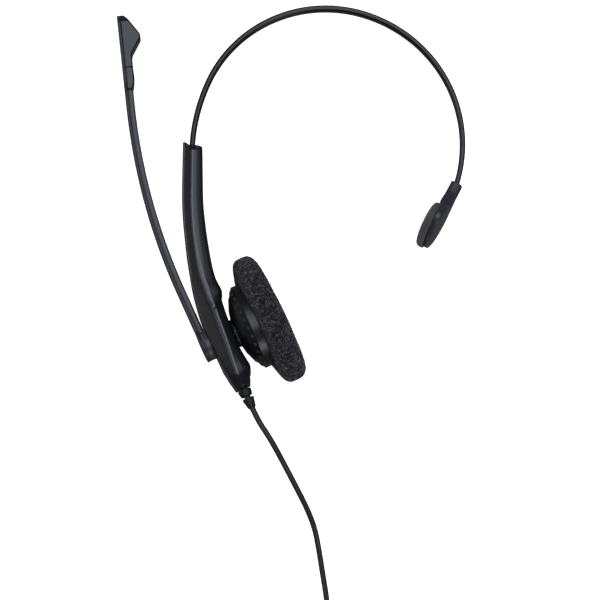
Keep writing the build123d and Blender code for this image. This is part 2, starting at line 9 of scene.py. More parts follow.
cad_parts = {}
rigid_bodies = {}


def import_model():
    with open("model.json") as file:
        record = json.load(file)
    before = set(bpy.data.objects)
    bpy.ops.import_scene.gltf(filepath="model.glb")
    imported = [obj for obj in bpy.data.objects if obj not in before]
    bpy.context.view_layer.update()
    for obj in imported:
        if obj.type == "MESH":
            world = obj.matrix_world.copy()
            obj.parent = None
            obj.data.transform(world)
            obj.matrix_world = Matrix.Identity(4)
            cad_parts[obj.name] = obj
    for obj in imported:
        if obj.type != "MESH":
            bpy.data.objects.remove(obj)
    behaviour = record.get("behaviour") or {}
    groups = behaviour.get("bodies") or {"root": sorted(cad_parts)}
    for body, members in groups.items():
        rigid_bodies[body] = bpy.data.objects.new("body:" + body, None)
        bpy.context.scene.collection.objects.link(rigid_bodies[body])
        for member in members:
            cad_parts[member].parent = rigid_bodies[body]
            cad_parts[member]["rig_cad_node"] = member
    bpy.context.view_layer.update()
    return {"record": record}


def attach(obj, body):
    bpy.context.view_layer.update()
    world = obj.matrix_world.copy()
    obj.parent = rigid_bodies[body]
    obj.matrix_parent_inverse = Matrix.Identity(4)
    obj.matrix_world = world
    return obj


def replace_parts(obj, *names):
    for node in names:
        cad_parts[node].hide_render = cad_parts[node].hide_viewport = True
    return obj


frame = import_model()

# ---- the planes that the pieces are drawn in, millimetres: LAY is the headset's own, tilted as it lies ----
MM = 0.001
PART = np.eye(4)
SHIFT = (-28.96, -59.54, 30.03)
TILT, ROLL, LEAN = radians(10.87), radians(0.57), radians(24.2)
LAY = np.array(
    Matrix.Translation(SHIFT) @ Matrix.Rotation(ROLL, 4, "Y") @ Matrix.Rotation(-TILT, 4, "X")
)
ACROSS = np.array((0.0, 0.0, 1.0))


def frame_of(origin, x_axis, y_axis, base=LAY):
    """A drawing plane as a matrix: its local X, Y and their cross product."""
    m = np.eye(4)
    m[:3, 0], m[:3, 1], m[:3, 2] = x_axis, y_axis, np.cross(x_axis, y_axis)
    m[:3, 3] = origin
    return base @ m


def spun(angle):
    """The X and Y axes of a plane turned about its own Z."""
    return (cos(angle), sin(angle), 0), (-sin(angle), cos(angle), 0)


# the ear cup: X down the arm and Z towards the ear. The boom: X up the arm and Y towards the ear
CUP = frame_of((0, 0, 0), (sin(LEAN), -cos(LEAN), 0), (0, 0, -1))
BOOM_DEPTH = -6.6
TO_EAR = np.array((cos(LEAN), sin(LEAN), 0))
BOOM = frame_of(BOOM_DEPTH * TO_EAR, (-sin(LEAN), cos(LEAN), 0), TO_EAR)


def moved(points, place):
    """Points in millimetres in a plane's own axes, as metres in the part's frame."""
    p = np.asarray(points, float).reshape(-1, 3)
    return ((p @ place[:3, :3].T) + place[:3, 3]) * MM


def linked(name, data):
    """A new object in the scene."""
    new = bpy.data.objects.new(name, data)
    bpy.context.scene.collection.objects.link(new)
    return new


# ---- camera, floor and light ----
VIEW_MIDDLE, VIEW_HEIGHT = (33.004, 16.605), 1600.0
SENSOR_WIDTH, LENS = 36.0, 227.57
FLOOR_HALF = 3.0
FLOOR_COLOUR, SKY_COLOUR, SKY_STRENGTH = (0.86, 0.86, 0.865, 1), (0.9, 0.95, 1.0, 1), 0.10
LIGHTS_AIM = (0.0, 0.0, 0.02)
# each light's place, size, watts and tint
LIGHTS = {
    "key": ((0.10, 0.50, 1.40), (0.40, 1.45), 8.0, (0.84, 0.89, 1.0)),
    "key_side": ((0.54, 0.50, 1.30), (0.46, 1.3), 3.3, (0.82, 0.88, 1.0)),
    "right": ((0.98, 0.52, 1.08), (0.50, 1.2), 0.7, (0.80, 0.90, 1.0)),
    "front": ((0.66, -1.12, 0.70), (0.7, 0.5), 5.0, (0.93, 0.95, 1.0)),
    "left": ((-1.38, 0.35, 0.42), (0.5, 1.3), 6.5, (1.0, 0.99, 0.98)),
    "left_high": ((-0.95, 0.35, 1.10), (0.75, 1.2), 1.2, (1.0, 0.98, 0.97)),
}


def make_camera():
    """A long lens that looks straight down."""
    camera = linked("camera", bpy.data.cameras.new("camera"))
    camera.location = Vector((SHIFT[0] + VIEW_MIDDLE[0], SHIFT[1] + VIEW_MIDDLE[1], VIEW_HEIGHT)) * MM
    camera.data.sensor_width, camera.data.lens = SENSOR_WIDTH, LENS
    camera.data.clip_start, camera.data.clip_end = 0.05, 20.0
    bpy.context.scene.camera = camera
    bpy.context.scene.view_settings.view_transform = "Standard"


def new_nodes(name):
    """A new material with its node tree and its main shader."""
    material = bpy.data.materials.new(name)
    material.use_nodes = True
    tree = material.node_tree
    return material, tree, tree.nodes["Principled BSDF"]


def with_inputs(node, **values):
    """The node with some of its inputs set: their names have _ for each space."""
    for name, value in values.items():
        node.inputs[name.replace("_", " ")].default_value = value
    return node


def make_floor():
    """A pale floor that the glossy parts don't mirror."""
    mesh = bpy.data.meshes.new("floor")
    corners = [(-FLOOR_HALF, -FLOOR_HALF, 0), (FLOOR_HALF, -FLOOR_HALF, 0),
               (FLOOR_HALF, FLOOR_HALF, 0), (-FLOOR_HALF, FLOOR_HALF, 0)]
    mesh.from_pydata(corners, [], [(0, 1, 2, 3)])
    floor = linked("floor", mesh)
    material, _, shader = new_nodes("pale_floor")
    with_inputs(shader, Base_Color=FLOOR_COLOUR, Roughness=0.9, Specular_IOR_Level=0.1,
                Emission_Color=(1, 1, 1, 1), Emission_Strength=1.0)
    mesh.materials.append(material)
    floor.visible_glossy = False


def make_world():
    """A white background for the camera, and a weak bluish sky for everything else."""
    world = bpy.data.worlds.new("studio")
    bpy.context.scene.world = world
    world.use_nodes = True
    tree = world.node_tree
    seen = with_inputs(tree.nodes["Background"], Color=(1.0, 1.0, 1.0, 1))
    lit = with_inputs(tree.nodes.new("ShaderNodeBackground"), Color=SKY_COLOUR, Strength=SKY_STRENGTH)
    path, mix = tree.nodes.new("ShaderNodeLightPath"), tree.nodes.new("ShaderNodeMixShader")
    tree.links.new(path.outputs["Is Camera Ray"], mix.inputs[0])
    tree.links.new(lit.outputs[0], mix.inputs[1])
    tree.links.new(seen.outputs[0], mix.inputs[2])
    tree.links.new(mix.outputs[0], tree.nodes["World Output"].inputs[0])


def make_light(name, place, size, watts, tint):
    """A soft panel aimed at the object, its first side as near level with world X as it can be."""
    data = bpy.data.lights.new(name, "AREA")
    data.shape, data.size, data.size_y = "RECTANGLE", *size
    data.energy, data.color = watts, tint
    lamp = linked(name, data)
    back = (Vector(place) - Vector(LIGHTS_AIM)).normalized()
    across = (Vector((1, 0, 0)) - back * back.x).normalized()
    turn = Matrix((across, back.cross(across), back)).transposed().to_4x4()
    lamp.matrix_world = Matrix.Translation(place) @ turn


make_camera()
make_floor()
make_world()
for light, settings in LIGHTS.items():
    make_light(light, *settings)

# ---- materials, one for each of the record's slots ----
CLOUD_SIZE, CLOUD_SHARE = 9.0, 0.45
NOISE_LOW, NOISE_HIGH = 0.3, 0.7


def surface(name, colour, rough, grain=0.5, depth=0.02, vary=0.18, metal=0.0, gloss=0.5, sheen=0.0,
            brushed=None):
    """A moulded or metal finish: fine grain in its relief, clouds in its tone and gloss. Sizes in mm."""
    material, tree, shader = new_nodes(name)
    link, node = tree.links.new, tree.nodes.new
    source = node("ShaderNodeTexCoord").outputs["Object"]
    fine = with_inputs(node("ShaderNodeTexNoise"), Scale=1 / (grain * MM), Detail=3.0)
    broad = with_inputs(node("ShaderNodeTexNoise"), Scale=1 / (CLOUD_SIZE * MM), Detail=4.0)
    link(source, broad.inputs["Vector"])
    if brushed:
        stretch = with_inputs(node("ShaderNodeMapping"), Scale=brushed)
        link(source, stretch.inputs["Vector"])
        source = stretch.outputs[0]
    link(source, fine.inputs["Vector"])
    blend = node("ShaderNodeMix")
    blend.data_type = "FLOAT"
    blend.inputs[0].default_value = CLOUD_SHARE
    link(fine.outputs["Fac"], blend.inputs[2])
    link(broad.outputs["Fac"], blend.inputs[3])
    tone = node("ShaderNodeValToRGB")
    steps = zip(tone.color_ramp.elements, (NOISE_LOW, NOISE_HIGH), (1 - vary, 1 + vary))
    for step, position, factor in steps:
        step.position, step.color = position, (*[min(1.0, c * factor) for c in colour], 1)
    link(blend.outputs[0], tone.inputs["Fac"])
    link(tone.outputs["Color"], shader.inputs["Base Color"])
    spread = with_inputs(node("ShaderNodeMapRange"), From_Min=NOISE_LOW, From_Max=NOISE_HIGH,
                         To_Min=rough[0], To_Max=rough[1])
    link(blend.outputs[0], spread.inputs["Value"])
    link(spread.outputs[0], shader.inputs["Roughness"])
    bump = with_inputs(node("ShaderNodeBump"), Strength=0.5, Distance=depth * MM)
    link(fine.outputs["Fac"], bump.inputs["Height"])
    link(bump.outputs[0], shader.inputs["Normal"])
    with_inputs(shader, Metallic=metal, Specular_IOR_Level=gloss, Sheen_Weight=sheen)
    return material


CELL_SIZE, DUST_SIZE, CELL_DEPTH = 0.44, 1.6, 0.25
# the pores' colour is painted shade and the tips' colour a painted highlight; the struts' colour is the
# foam's own
PORE_SHADE, STRUT, TIP_HIGHLIGHT = (0.0022, 0.0022, 0.0026, 1), (0.034, 0.033, 0.039, 1), (0.098, 0.096, 0.108, 1)


def foam_surface(name):
    """Open-cell foam: painted shade darkens its pores between paler struts, and a painted highlight makes
    their tips the palest.
    """
    material, tree, shader = new_nodes(name)
    link, node = tree.links.new, tree.nodes.new
    place = node("ShaderNodeTexCoord")
    cells = with_inputs(node("ShaderNodeTexVoronoi"), Scale=1 / (CELL_SIZE * MM))
    dust = with_inputs(node("ShaderNodeTexNoise"), Scale=1 / (DUST_SIZE * MM), Detail=6.0)
    link(place.outputs["Object"], cells.inputs["Vector"])
    link(place.outputs["Object"], dust.inputs["Vector"])
    mixed = node("ShaderNodeMath")
    mixed.operation = "MULTIPLY"
    link(cells.outputs["Distance"], mixed.inputs[0])
    link(dust.outputs["Fac"], mixed.inputs[1])
    # the ramp paints shade into the pores and a highlight on the struts' tips
    tone = node("ShaderNodeValToRGB")
    steps = tone.color_ramp.elements
    steps[0].position, steps[0].color = 0.12, PORE_SHADE
    steps[1].position, steps[1].color = 0.31, STRUT
    steps.new(0.42).color = TIP_HIGHLIGHT
    link(mixed.outputs[0], tone.inputs["Fac"])
    link(tone.outputs["Color"], shader.inputs["Base Color"])
    bump = with_inputs(node("ShaderNodeBump"), Strength=0.9, Distance=CELL_DEPTH * MM)
    link(mixed.outputs[0], bump.inputs["Height"])
    link(bump.outputs[0], shader.inputs["Normal"])
    with_inputs(shader, Roughness=0.95, Specular_IOR_Level=0.15)
    return material


MATERIALS = {
    "arm_plastic": surface("arm_plastic", (0.0095, 0.0088, 0.0102), (0.22, 0.29), 0.35, 0.02),
    "cover_plastic": surface("cover_plastic", (0.0075, 0.008, 0.0105), (0.20, 0.27), 0.5, 0.008),
    "collar_plastic": surface("collar_plastic", (0.006, 0.006, 0.0065), (0.4, 0.5)),
    "steel": surface("steel", (0.05, 0.05, 0.054), (0.3, 0.4), 0.3, 0.01, 0.1, 1.0, brushed=(1, 12, 1)),
    "board": surface("board", (0.015, 0.10, 0.04), (0.3, 0.4)),
    "nylon": surface("nylon", (0.012, 0.012, 0.0125), (0.4, 0.5)),
    "boot_rubber": surface("boot_rubber", (0.006, 0.006, 0.0065), (0.42, 0.55), 0.4, 0.02),
    "cord_jacket": surface("cord_jacket", (0.015, 0.015, 0.016), (0.42, 0.54), 0.5, 0.015),
    "tie_strap": surface("tie_strap", (0.010, 0.010, 0.011), (0.85, 0.95), 0.35, 0.08, sheen=0.1),
    "plug_plastic": surface("plug_plastic", (0.010, 0.010, 0.011), (0.36, 0.46), 0.4, 0.02),
    "contact_metal": surface("contact_metal", (0.78, 0.74, 0.66), (0.12, 0.2), 0.3, 0.004, 0.06, 1.0),
    "insulator": surface("insulator", (0.012, 0.012, 0.012), (0.25, 0.3)),
    "band_plastic": surface("band_plastic", (0.004, 0.004, 0.005), (0.18, 0.25), 0.5, 0.008, gloss=0.24),
    "carrier_plastic": surface("carrier_plastic", (0.026, 0.026, 0.031), (0.34, 0.44), 0.4, 0.012),
    "pad_rubber": surface("pad_rubber", (0.055, 0.055, 0.058), (0.62, 0.75), 0.3, 0.04),
    "housing_plastic": surface("housing_plastic", (0.005, 0.005, 0.0065), (0.30, 0.40), 0.4, 0.010),
    "felt": surface("felt", (0.03, 0.03, 0.03), (0.9, 1.0), 0.3, 0.1, sheen=0.3),
    "magnet": surface("magnet", (0.5, 0.5, 0.52), (0.15, 0.25), metal=1.0),
    "copper": surface("copper", (0.70, 0.34, 0.16), (0.25, 0.35), metal=1.0),
    "film": surface("film", (0.22, 0.19, 0.13), (0.2, 0.3)),
    "frame_plastic": surface("frame_plastic", (0.010, 0.010, 0.011), (0.45, 0.55)),
    "foam": foam_surface("foam"),
    "boom_outer_plastic": surface("boom_outer_plastic", (0.014, 0.014, 0.015), (0.42, 0.52), 0.35, 0.02),
    "boom_inner_plastic": surface("boom_inner_plastic", (0.046, 0.048, 0.057), (0.36, 0.46), 0.35, 0.015),
    "wire_skin": surface("wire_skin", (0.4, 0.05, 0.04), (0.4, 0.5)),
}
SLOTS = {part["node"]: part["material_slot"] for part in frame["record"]["subparts"]}
BODIES = {node: body for body, nodes in frame["record"]["behaviour"]["bodies"].items() for node in nodes}


# ---- numbers that rise and fall smoothly ----
def ramp(x, start, length):
    """From 0 at the start to 1 a length further on, and level outside."""
    return min(1.0, max(0.0, (x - start) / length))


def softened(share):
    """A share from 0 to 1 that starts and ends level."""
    return share * share * (3 - 2 * share)


def between(first, last, share):
    """The first value at share 0, the last at share 1."""
    return first + (last - first) * share


def hump(x, middle, width):
    """A bell curve, 1 at its middle."""
    return np.exp(-((x - middle) / width) ** 2)


def eased(x, xs, ys):
    """A smooth curve through table values that never overshoots them (monotone cubic)."""
    xs, ys = np.asarray(xs, float), np.asarray(ys, float)
    h, rise = np.diff(xs), np.diff(ys, axis=0)
    slope = rise / (h[:, None] if ys.ndim > 1 else h)
    m = np.zeros_like(ys)
    both = slope[:-1] * slope[1:] > 0
    m[1:-1] = np.where(both, 2 * slope[:-1] * slope[1:] / np.where(both, slope[:-1] + slope[1:], 1), 0)
    m[0], m[-1] = slope[0], slope[-1]
    i = int(min(max(np.searchsorted(xs, x) - 1, 0), len(xs) - 2))
    t = (x - xs[i]) / h[i]
    return (
        (2 * t**3 - 3 * t**2 + 1) * ys[i] + (t**3 - 2 * t**2 + t) * h[i] * m[i]
        + (-2 * t**3 + 3 * t**2) * ys[i + 1] + (t**3 - t**2) * h[i] * m[i + 1]
    )


# ---- shapes: points and faces ----
def skin(rings, caps=True, looped=False):
    """A surface through equal rings of points: open, closed by end faces, or joined end to end."""
    rings = np.asarray(rings, float)
    rows, count = rings.shape[:2]
    faces = []
    for i in range(rows if looped else rows - 1):
        here, there = i * count, (i + 1) % rows * count
        for j in range(count):
            after = (j + 1) % count
            faces.append((here + j, here + after, there + after, there + j))
    if caps and not looped:
        faces.append(tuple(range(count - 1, -1, -1)))
        faces.append(tuple((rows - 1) * count + j for j in range(count)))
    return rings.reshape(-1, 3), faces


def turned(profile, count):
    """Rings of a turned shape from its (radius, height) corners."""
    angles = [2 * pi * k / count for k in range(count)]
    return [[(r * cos(a), r * sin(a), z) for a in angles] for r, z in profile]


def rod(radius, low, high, count=48):
    """A plain cylinder between two heights."""
    return skin(turned([(radius, low), (radius, high)], count))


def prism(corners, low, high):
    """A plain block on a polygon, between two heights."""
    return skin([[(x, y, z) for x, y in corners] for z in (low, high)])


def rounded(corners, radii, steps=4):
    """A closed outline whose corners turn on their own radii, with steps + 1 points at every corner."""
    corners = np.asarray(corners, float)
    count = len(corners)
    radii = np.broadcast_to(radii, count)
    out = []
    for i in range(count):
        here, before, after = corners[i], corners[i - 1], corners[(i + 1) % count]
        u, v = before - here, after - here
        long_u, long_v = np.hypot(*u), np.hypot(*v)
        u, v = u / long_u, v / long_v
        half = acos(max(-1.0, min(1.0, float(u @ v)))) / 2
        cut = min(radii[i] / tan(half), 0.49 * long_u, 0.49 * long_v)
        start, end, turn = here + u * cut, here + v * cut, pi - 2 * half
        if turn < 0.01:
            out += [start + (end - start) * k / steps for k in range(steps + 1)]
            continue
        middle = here + (u + v) / np.hypot(*(u + v)) * cut / cos(half)
        for t in (k / steps for k in range(steps + 1)):
            shares = sin((1 - t) * turn) * (start - middle) + sin(t * turn) * (end - middle)
            out.append(middle + shares / sin(turn))
    return np.array(out)


def moved_in(corners, inset):
    """A polygon's corners with every edge moved in by the same distance."""
    corners = np.asarray(corners, float)
    ahead = np.roll(corners, -1, 0)
    edge = (ahead - corners) / np.linalg.norm(ahead - corners, axis=1)[:, None]
    sense = np.sign((corners[:, 0] * ahead[:, 1] - ahead[:, 0] * corners[:, 1]).sum())
    inward = sense * np.stack((-edge[:, 1], edge[:, 0]), 1)
    before = np.roll(inward, 1, 0)
    return corners + inset * (before + inward) / (1 + (before * inward).sum(1))[:, None]


def along(path, s, heading):
    """The point a distance along a path of (length, radius) runs, and the heading there in radians."""
    x, y, turn = 0.0, 0.0, radians(heading)
    for number, (length, radius) in enumerate(path):
        step = s if number == len(path) - 1 else min(s, length)
        if radius:
            swing = step / radius
            x += radius * (sin(turn + swing) - sin(turn))
            y += radius * (cos(turn) - cos(turn + swing))
            turn += swing
        else:
            x, y = x + step * cos(turn), y + step * sin(turn)
        s -= step
        if s <= 1e-9:
            break
    return np.array((x, y)), turn


def swept(path, stops, outline, heading=0.0, offset=(0.0, 0.0)):
    """Rings along a path: outline(s) gives points of (left of the path, across it)."""
    rings = []
    for s in stops:
        at, turn = along(path, s, heading)
        ring = outline(s)
        origin = np.array((*(at + offset), 0.0))
        rings.append(origin + ring[:, :1] * spun(turn)[1] + ring[:, 1:] * ACROSS)
    return rings


# ---- pieces ----
def smooth_shaded(piece, sharp=40.0):
    """Outward normals, smooth shading and sharp edges above an angle in degrees."""
    work = bmesh.new()
    work.from_mesh(piece.data)
    bmesh.ops.recalc_face_normals(work, faces=work.faces)
    work.to_mesh(piece.data)
    work.free()
    piece.data.shade_smooth()
    piece.data.set_sharp_from_angle(angle=radians(sharp))


def make_piece(name, shape, node, place, sharp=40.0, slot=None):
    """A mesh piece that rides on the node's body, with the node's own slot unless another is named."""
    points, faces = shape
    mesh = bpy.data.meshes.new(name)
    mesh.from_pydata([tuple(p) for p in moved(points, place)], [], [tuple(int(i) for i in f) for f in faces])
    mesh.validate()
    mesh.update()
    piece = linked(name, mesh)
    smooth_shaded(piece, sharp)
    slot = slot or SLOTS[node]
    mesh.materials.append(MATERIALS[slot])
    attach(piece, BODIES[node])
    return piece


def carve(piece, tools, place, mode="DIFFERENCE", sharp=40.0):
    """Cut closed shapes from the piece's mesh, or add them to it."""
    for points, faces in tools:
        mesh = bpy.data.meshes.new("tool")
        mesh.from_pydata([tuple(p) for p in moved(points, place)], [], faces)
        tool = linked("tool", mesh)
        smooth_shaded(tool)
        step = piece.modifiers.new("carve", "BOOLEAN")
        step.operation, step.solver, step.object = mode, "EXACT", tool
        graph = bpy.context.evaluated_depsgraph_get()
        result = bpy.data.meshes.new_from_object(piece.evaluated_get(graph))
        piece.modifiers.clear()
        old, piece.data = piece.data, result
        bpy.data.meshes.remove(old)
        bpy.data.objects.remove(tool)
    smooth_shaded(piece, sharp)


# ---- the cord: one line from the boot, through the coil, to the plug ----
CORD_R = 1.2
ROUTE = [
    (-15.48, -87.8, 35.32), (-13.22, -92.72, 36.24), (-8.6, -99.5, 37.0), (-4.6, -106.7, 36.0),
    (-0.6, -114.5, 31.8), (3.4, -122.5, 24.6), (7.2, -130.5, 15.4), (10.3, -138.9, 6.8),
    (12.0, -147.9, 2.0), (13.5, -157.7, 1.2), (15.2, -168.1, 1.2), (16.2, -177.9, 1.25),
    (16.5, -187.0, 1.7),
]
TAIL = [
    (2.0, -210.3, 4.1), (-5.5, -210.9, 3.7), (-12.0, -210.4, 2.6), (-18.5, -209.1, 2.9),
    (-25.0, -207.3, 4.0), (-31.8, -205.2, 4.0),
]
COIL_AT, COIL_R, COIL_Z, COIL_LAYER = (-1.5, -192.5), 18.0, 1.7, 5
TURN_POINTS, LEAD_POINTS = 20, 4


def coil_turns():
    """The coil's turns: wound in on the table, then out again on top, clockwise from the right."""
    low, high = COIL_Z, COIL_Z + 2 * CORD_R
    radii = [COIL_R - 2 * CORD_R * k for k in range(COIL_LAYER)]
    turns = [(COIL_R, 0.25, low)] + [(r, 1.0, low) for r in radii[1:]]
    turns += [(r, 1.0, high) for r in radii[::-1]]
    points, angle = [], 0.0
    for number, (radius, share, height) in enumerate(turns):
        count = round(TURN_POINTS * share)
        after = turns[number + 1] if number + 1 < len(turns) else turns[number]
        for k in range(count):
            late = max(0.0, (k + 1 - count + LEAD_POINTS) / LEAD_POINTS)
            r, z = between(radius, after[0], late), between(height, after[2], late)
            if number or k:
                points.append((COIL_AT[0] + r * cos(angle), COIL_AT[1] + r * sin(angle), z))
            angle -= 2 * pi / TURN_POINTS
    return points


def make_cord():
    """The cord's one smooth curve."""
    curve = bpy.data.curves.new("cord", "CURVE")
    curve.dimensions = "3D"
    curve.bevel_depth, curve.bevel_resolution, curve.use_fill_caps = CORD_R * MM, 6, True
    line = curve.splines.new("NURBS")
    points = ROUTE + coil_turns() + TAIL
    line.points.add(len(points) - 1)
    for point, place in zip(line.points, points):
        point.co = (*[c * MM for c in place], 1.0)
    line.order_u, line.use_endpoint_u, line.resolution_u = 3, True, 8
    cord = linked("cord", curve)
    curve.materials.append(MATERIALS["cord_jacket"])
    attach(cord, "arm")
    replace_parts(cord, "cord_tube", "cord_coil", "cord_tail")
    return cord


cord = make_cord()


# ---- arm ----
ARM_X, ARM_TOP, ARM_STRAIGHT, ARM_BEND_R, ARM_LENGTH = -11.85, 83.6, 22.0, 154.0, 107.2
ARM_WALL, HALF_OVERLAP = 1.3, 0.01
# distance from the top, depth of the outer and the inner half, half width of the face and at the ridge, and
# how far the ridge lies towards the ear
ARM_ROWS = np.array([
    (0.0, 3.9, 4.25, 3.8, 5.0, -0.2), (22.0, 4.2, 4.6, 4.2, 5.4, -0.4), (38.0, 4.2, 5.15, 4.6, 6.0, -0.55),
    (47.0, 4.4, 5.3, 5.2, 6.6, -0.7), (55.0, 4.7, 5.3, 5.9, 7.3, -1.0), (60.0, 5.0, 5.45, 6.5, 7.8, -0.9),
    (62.8, 5.15, 5.95, 6.9, 8.15, -0.6), (65.8, 5.25, 6.5, 7.3, 8.5, -0.4),
    (67.6, 5.3, 6.45, 7.5, 8.7, -0.2), (70.2, 5.38, 5.65, 7.8, 8.9, 0.2), (73.5, 5.45, 5.35, 8.2, 9.2, 0.6),
    (80.0, 5.37, 5.1, 8.5, 9.4, 0.75), (91.5, 5.1, 4.85, 8.5, 9.4, 0.0), (96.5, 5.1, 5.3, 8.1, 9.1, -0.6),
    (100.4, 4.7, 5.75, 7.8, 8.95, -1.0), (102.0, 4.5, 5.35, 7.7, 8.85, -1.1),
    (102.86, 4.4, 4.95, 7.6, 8.8, -1.15), (102.96, 4.38, 4.45, 7.2, 8.3, -1.15),
    (105.4, 4.0, 3.65, 6.1, 7.2, -1.1), (107.2, 3.7, 2.9, 5.2, 6.35, -1.0),
])
# where the section turns from the slim upper arm's to the broad lower arm's, where the outer half's edges
# turn sharp, and over what length
BROAD_AT, EDGE_AT, BROAD_OVER = 58, 46, 14
CORNER_STEPS, OUTER_CORNERS = 5, 8
THROAT_X, THROAT_DIP, THROAT_WAIST, THROAT_LIP, TOP_TILT = -0.2, 1.2, 0.10, 0.07, 0.24
SPLITS, SPLIT_GAP = (73.4, 102.9), 0.04
FOOT_WALL, COVER_FOOT_WALL, FOOT_ROUND, SLANT = 2.3, 2.0, 0.12, 0.65
HUB_SEAT_R, HUB_SEAT_Z, PIN_HOLE_R = 7.1, -4.2, 2.72
RECESS_R, RECESS_FLOOR, STUD_HOLE_R = 7.4, 4.7, 1.32
SCREWS_AT, SCREW_HEAD_R, SCREW_HEAD_DEEP, SCREW_R = (39.0, 62.0, 97.5), 1.55, 0.8, 0.85
# a height clear of the arm, where a cutting tool may end
CLEAR = 12.0


def arm_frame(s):
    """The arm's cross-section a distance s down from its top: its middle, the way to the ear and down."""
    bend = max(0.0, min((s - ARM_STRAIGHT) / ARM_BEND_R, LEAN))
    rest = max(0.0, s - ARM_STRAIGHT - ARM_BEND_R * LEAN)
    x = ARM_X + ARM_BEND_R * (1 - cos(bend)) + rest * sin(bend)
    y = ARM_TOP - min(s, ARM_STRAIGHT) - ARM_BEND_R * sin(bend) - rest * cos(bend)
    to_ear, down = (cos(bend), sin(bend), 0.0), (sin(bend), -cos(bend), 0.0)
    return np.array((x, y, 0.0)), np.array(to_ear), np.array(down)


def arm_outline(s, side, inset, thick):
    """Half of the arm's hollow section: ridge, strip, knee, face and back inside. Side 1 is the ear's."""
    outer, inner, face, ridge, shift = eased(s, ARM_ROWS[:, 0], ARM_ROWS[:, 1:])
    full = side * ((outer if side < 0 else inner) - inset)
    face, ridge, root = face - inset, ridge - inset, shift - side * HALF_OVERLAP
    broad = ramp(s, BROAD_AT, BROAD_OVER)
    if side < 0:
        edge = between(3.0, 0.6, ramp(s, EDGE_AT, BROAD_OVER))
        face = between(ridge - 0.70, face - 0.55, broad)
        knee, knee_w = between(root, full, between(0.35, 0.25, broad)), ridge - between(0.26, 0.14, broad)
        strip, strip_w = (root + knee) / 2, (ridge + knee_w) / 2
    else:
        edge = 2.4
        face = between(face - 0.1, ridge - 1.95, broad)
        knee, knee_w = between(root, full, 0.45), ridge - between(0.36, 0.60, broad)
        width = 1.0 + 1.2 * hump(s, 60, 12)
        strip, strip_w = root + width, ridge - width * between(0.17, 0.07, ramp(s, 0, 52))
    back = full - side * thick
    corners = [
        (root, ridge), (strip, strip_w), (knee, knee_w), (full, face),
        (full, -face), (knee, -knee_w), (strip, -strip_w), (root, -ridge),
        (root, -ridge + thick), (back, -face + thick), (back, face - thick), (root, ridge - thick),
    ]
    radii = [0.2, 0.8, 5.0, edge, edge, 5.0, 0.8, 0.2, 0.05, 0.5, 0.5, 0.05]
    return rounded(corners, radii, CORNER_STEPS)


def arm_ring(s, side, inset, thick):
    """The same outline in place, its top end tilted, with a dip and a lip where the band goes in."""
    origin, to_ear, down = arm_frame(s)
    ring = arm_outline(s, side, inset, thick)
    dip = THROAT_DIP * hump(ring[:, 0], THROAT_X, 1.7) * (1 - ramp(s, 0, 3.0))
    tilt = TOP_TILT * (ring[:, 0] + 4) * (1 - ramp(s, 0, 6.0))
    waist = THROAT_WAIST * hump(s, 0.2, 1.6) - THROAT_LIP * hump(s, 2.7, 0.5)
    across = ring[:, 1:] * (1 - waist * hump(ring[:, :1], THROAT_X, 2.2))
    return origin + ring[:, :1] * to_ear + across * ACROSS + (dip + tilt)[:, None] * down


def arm_stretch(name, node, side, start, end, top_round=0.6, foot_wall=None, slants=(0, 0)):
    """A stretch of one half of the arm as a hollow shell with softened, possibly slanted, ends."""
    stops = [(start, top_round), (start + top_round * 0.3, top_round * 0.3), (start + top_round, 0.0)]
    stops += [(s, 0.0) for s in np.arange(start + 0.9, min(start + 4.4, end - 1.2), 0.3)]
    stops += [(s, 0.0) for s in np.arange(start + 4.5, end - 1.2, 1.1)]
    stops += [(end - FOOT_ROUND, 0.0), (end - FOOT_ROUND * 0.3, FOOT_ROUND * 0.3), (end, FOOT_ROUND)]
    rings = []
    for s, inset in stops:
        thick = foot_wall if foot_wall and s > end - 1.3 else ARM_WALL
        ring = arm_ring(s, side, inset, thick - inset * 0.6)
        origin, to_ear, down = arm_frame(s)
        for slant, edge in zip(slants, (start, end)):
            near = max(0.0, 1 - abs(s - edge) / 7.0)
            lean = np.maximum(0.0, (ring - origin) @ to_ear - 0.9)
            ring = ring - (slant * near * lean)[:, None] * down
        rings.append(ring)
    points, faces = skin(rings, caps=False)
    return make_piece(name, (points, faces + end_bands(len(rings), len(rings[0]))), node, LAY)


def end_bands(rows, count):
    """The two end faces of a hollow outline, as strips between its outer and its inner run."""
    outer = OUTER_CORNERS * (CORNER_STEPS + 1)
    faces, inner = [], count - outer
    match = [count - 1 - round(i * (inner - 1) / (outer - 1)) for i in range(outer)]
    for base, flip in ((0, False), ((rows - 1) * count, True)):
        for i in range(outer - 1):
            ring = [base + i, base + i + 1, base + match[i + 1]]
            if match[i] != match[i + 1]:
                ring.append(base + match[i])
            faces.append(tuple(ring[::-1] if flip else ring))
    return faces


